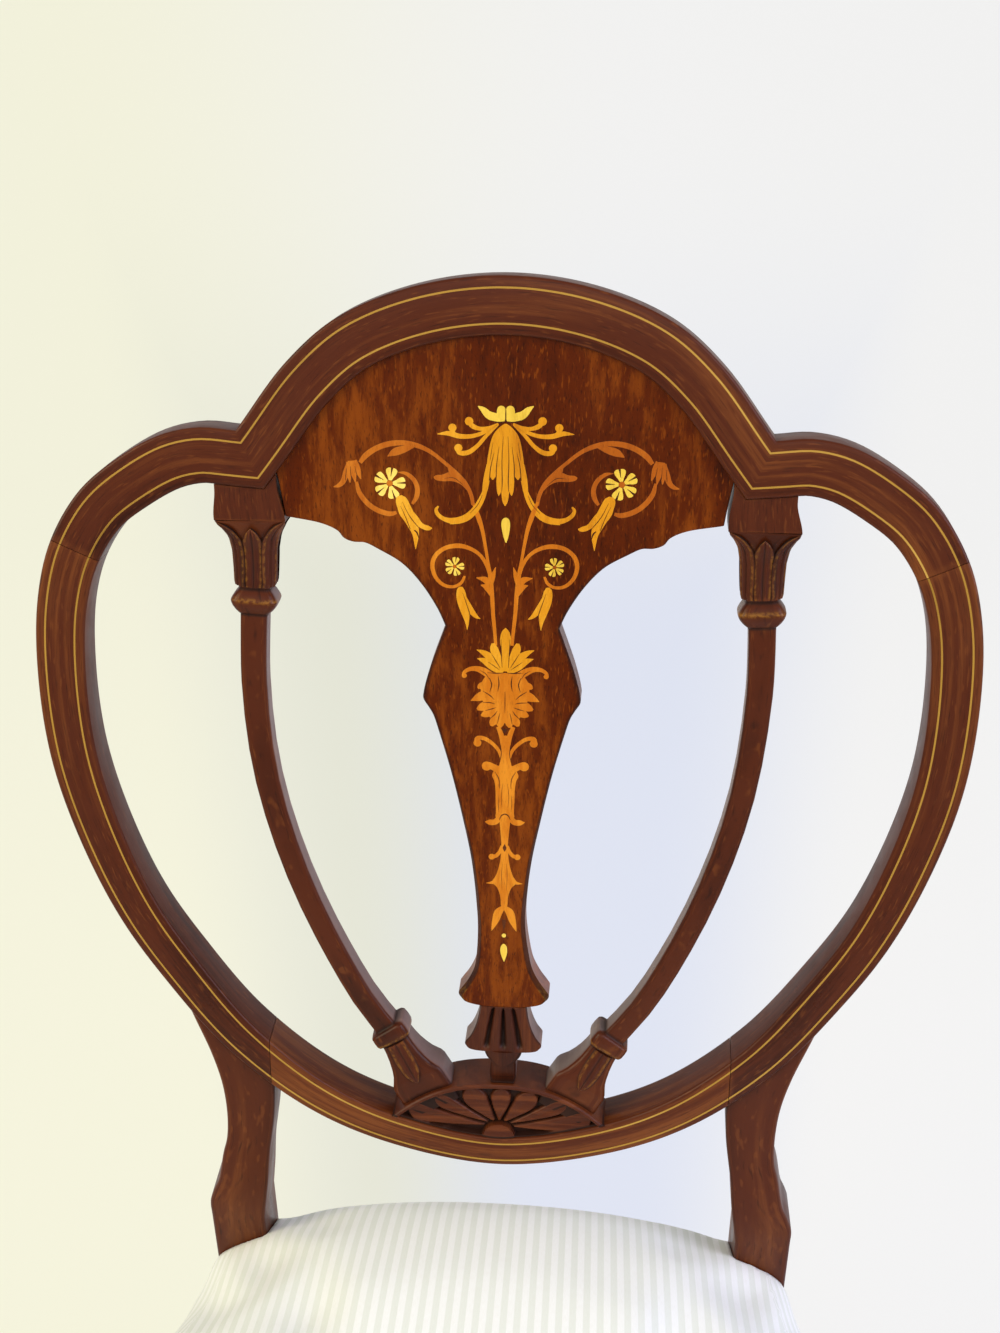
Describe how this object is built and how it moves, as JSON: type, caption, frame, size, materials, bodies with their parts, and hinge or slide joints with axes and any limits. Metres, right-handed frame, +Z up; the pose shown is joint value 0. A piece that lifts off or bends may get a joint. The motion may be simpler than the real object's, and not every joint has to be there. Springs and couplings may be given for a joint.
{
  "type": "shield back dining chair",
  "caption": "Inlaid mahogany side chair with an open shield-shaped back, carved fan, curved bars, stuffed satin seat and tapered legs.",
  "frame": {"origin": "on the floor, below the middle of the chair's bounding box", "axes": "+Z up, the chair faces -Y, +X to the right of someone who looks at its front"},
  "size_m": [0.4896, 0.525, 0.9715],
  "materials": {
    "mahogany": "polished red-brown mahogany",
    "mahogany_panel": "polished mahogany veneer with satinwood marquetry",
    "boxwood": "polished boxwood line",
    "beech": "plain unfinished beech",
    "satin_cover": "cream satin stripe",
    "stuffing": "hair and wadding",
    "hessian": "plain hessian",
    "webbing": "woven jute webbing",
    "bottom_cloth": "black cotton cloth"
  },
  "bodies": {
    "root": {"crest_rail": "mahogany", "shield_shoe": "mahogany", "rear_leg_left": "mahogany", "rear_leg_right": "mahogany", "fan_lunette": "mahogany", "splat": "mahogany_panel", "bar_left": "mahogany", "bar_right": "mahogany", "crest_string_outer": "boxwood", "shoe_string_outer": "boxwood", "stile_string_outer_left": "boxwood", "stile_string_outer_right": "boxwood", "crest_string_inner": "boxwood", "shoe_string_inner": "boxwood", "stile_string_inner_left": "boxwood", "stile_string_inner_right": "boxwood", "seat_rail_left": "beech", "seat_rail_right": "beech", "seat_rail_front": "beech", "seat_rail_rear": "beech", "front_leg_left": "mahogany", "front_leg_right": "mahogany", "corner_block_front_left": "beech", "corner_block_front_right": "beech", "corner_block_rear_left": "beech", "corner_block_rear_right": "beech", "webbing_long_1": "webbing", "webbing_long_2": "webbing", "webbing_long_3": "webbing", "webbing_long_4": "webbing", "webbing_cross_1": "webbing", "webbing_cross_2": "webbing", "webbing_cross_3": "webbing", "webbing_cross_4": "webbing", "seat_hessian": "hessian", "seat_stuffing": "stuffing", "seat_cover": "satin_cover", "bottom_cloth": "bottom_cloth"}
  },
  "joints": []
}
